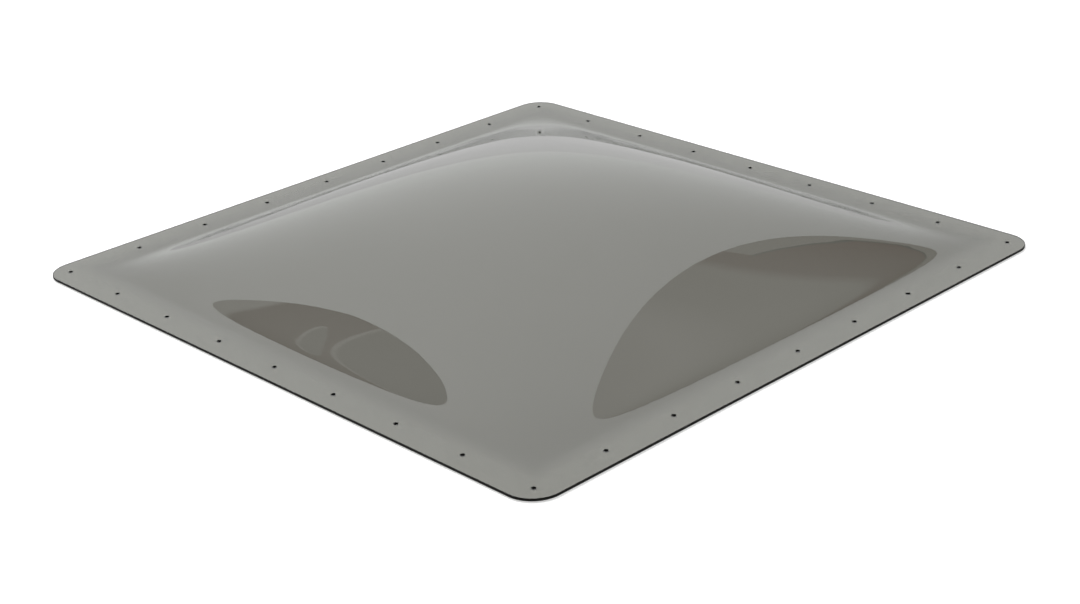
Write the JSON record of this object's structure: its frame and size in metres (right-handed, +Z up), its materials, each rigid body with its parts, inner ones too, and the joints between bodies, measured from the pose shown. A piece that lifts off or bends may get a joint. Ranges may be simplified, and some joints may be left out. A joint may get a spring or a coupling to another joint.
{
  "type": "rv skylight",
  "caption": "Square smoked skylight dome for a caravan or camper roof: one formed sheet with a low blown dome and a flat flange drilled for screws, bedded on clear sealing strips.",
  "frame": {"origin": "middle of the underside, on the roof that the skylight is fastened to", "axes": "+Z up, out of the roof; +X and +Y along the flange's straight sides, with the front at -Y"},
  "size_m": [0.8636, 0.8636, 0.0887],
  "materials": {
    "smoked_sheet": "polished clear sheet, smoke grey all through, bright on both sides and dark at its cut edges",
    "clear_seal": "clear soft sealing strip, smooth"
  },
  "bodies": {
    "root": {"dome": "smoked_sheet", "seal_front": "clear_seal", "seal_right": "clear_seal", "seal_rear": "clear_seal", "seal_left": "clear_seal"}
  },
  "joints": []
}
